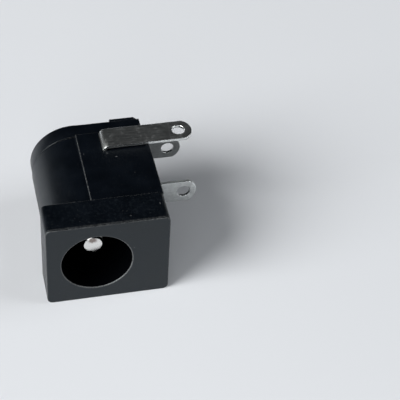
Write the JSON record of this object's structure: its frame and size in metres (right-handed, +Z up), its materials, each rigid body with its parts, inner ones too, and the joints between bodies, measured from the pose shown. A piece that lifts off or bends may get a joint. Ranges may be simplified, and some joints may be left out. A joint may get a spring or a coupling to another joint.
{
  "type": "dc barrel jack",
  "caption": "Right-angle barrel power jack for a circuit board: square flange, round-topped body, centre pin and flat solder tails with eyes.",
  "frame": {"origin": "centre of the plug mouth, on the front face; the jack lies on its side, as a loose one comes to rest", "axes": "+X the way the solder tails point (away from the rounded top), +Y along the barrel from the mouth to the rear, +Z up, the side that carries the switch terminal"},
  "size_m": [0.0151, 0.0146, 0.0094],
  "materials": {
    "housing_black": "black moulded plastic with a satin sheen, faintly speckled on the flange",
    "cover_black": "black moulded plastic with a satin sheen",
    "pin_nickel": "bright nickel plate over turned brass",
    "terminal_tin": "tin-plated strip, softly scratched",
    "spring_tin": "tin-plated spring strip, softly scratched",
    "switch_tin": "tin-plated strip, softly scratched"
  },
  "bodies": {
    "root": {"housing": "housing_black", "rear_cover": "cover_black", "centre_pin": "pin_nickel", "pin_terminal": "terminal_tin", "sleeve_spring": "spring_tin", "switch_terminal": "switch_tin"}
  },
  "joints": []
}
